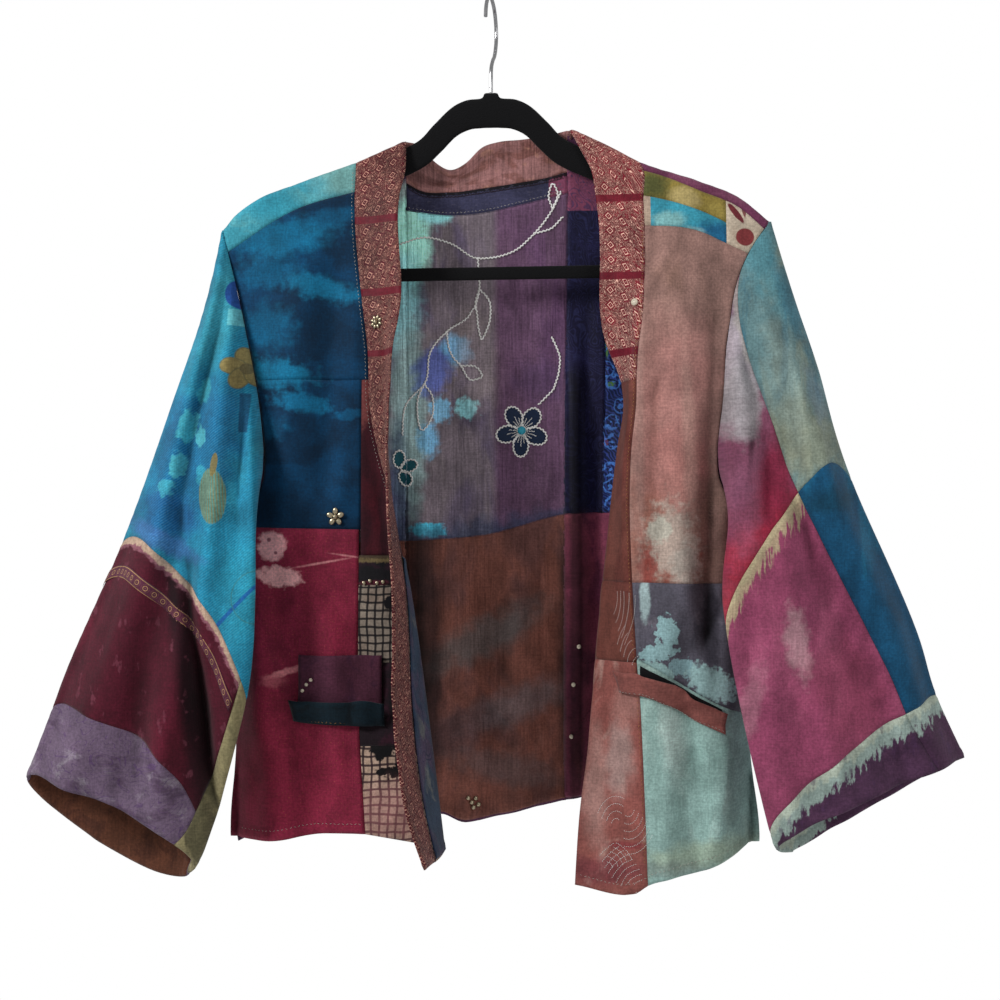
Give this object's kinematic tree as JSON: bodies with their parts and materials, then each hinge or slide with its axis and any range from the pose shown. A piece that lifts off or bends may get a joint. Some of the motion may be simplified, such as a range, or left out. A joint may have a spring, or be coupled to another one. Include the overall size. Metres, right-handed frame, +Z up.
{
  "type": "reversible patchwork jacket on hanger",
  "caption": "Reversible kimono-style patchwork jacket with brocade front bands, slash pockets and wide sleeves, hanging open on a black flocked hanger.",
  "frame": {"origin": "seat of the hanger's hook, where the part is held on a rail", "axes": "+Z up, -Y out of the jacket's front, +X towards the wearer's left"},
  "size_m": [0.7337, 0.1716, 0.7083],
  "materials": {
    "black_lining": "matte",
    "blue": "satin",
    "brocade": "satin",
    "brown": "matte",
    "button_metal": "satin",
    "check": "matte",
    "cream": "matte",
    "flocked_black": "matte",
    "hook_steel": "polished",
    "maroon": "matte",
    "mauve": "satin",
    "mint": "matte",
    "navy": "satin",
    "olive": "matte",
    "plum": "matte",
    "purple": "matte",
    "rose_brown": "satin",
    "rust": "matte",
    "slate": "matte",
    "teal_dye": "matte",
    "turquoise_print": "matte"
  },
  "bodies": {
    "root": {"back_outer_centre": "plum", "back_outer_left": "plum", "back_outer_right": "plum", "band_left_embroidered": "rust", "band_left_lower": "brocade", "band_left_rust": "rust", "band_left_upper": "brocade", "band_right": "brocade", "collar_back": "brown", "cuff_left_back": "purple", "cuff_left_front": "purple", "cuff_right_back": "purple", "cuff_right_facing": "brown", "cuff_right_front": "purple", "facing_right": "blue", "flower_button": "button_metal", "front_left_cream_print": "cream", "front_left_main": "rose_brown", "front_left_mint": "mint", "front_left_olive_strip": "olive", "front_left_purple_strip": "purple", "front_left_slate": "slate", "front_left_turquoise_strip": "turquoise_print", "front_right_chest": "teal_dye", "front_right_lower": "maroon", "front_right_plum_strip": "plum", "front_right_strip_brown": "brown", "front_right_strip_check": "check", "front_right_strip_low_check": "check", "front_right_strip_maroon": "maroon", "front_right_upper": "teal_dye", "front_right_yoke": "turquoise_print", "hanger_body": "flocked_black", "hanger_hook": "hook_steel", "lining_blue_side": "blue", "lining_facing_strip": "navy", "lining_main": "mauve", "lining_main_side": "mauve", "lining_navy_side": "navy", "lining_plum_side": "plum", "lining_rust": "rust", "lining_rust_side": "rust", "pocket_left_lining": "black_lining", "pocket_left_welt": "rust", "pocket_right_lining": "plum", "pocket_right_welt": "teal_dye", "sleeve_left_back_lower": "teal_dye", "sleeve_left_back_upper": "mint", "sleeve_left_front_lower": "plum", "sleeve_left_front_upper": "mauve", "sleeve_right_back_lower": "maroon", "sleeve_right_back_upper": "teal_dye", "sleeve_right_front_lower": "maroon", "sleeve_right_front_upper": "turquoise_print", "sleeve_right_olive": "olive"}
  },
  "joints": []
}
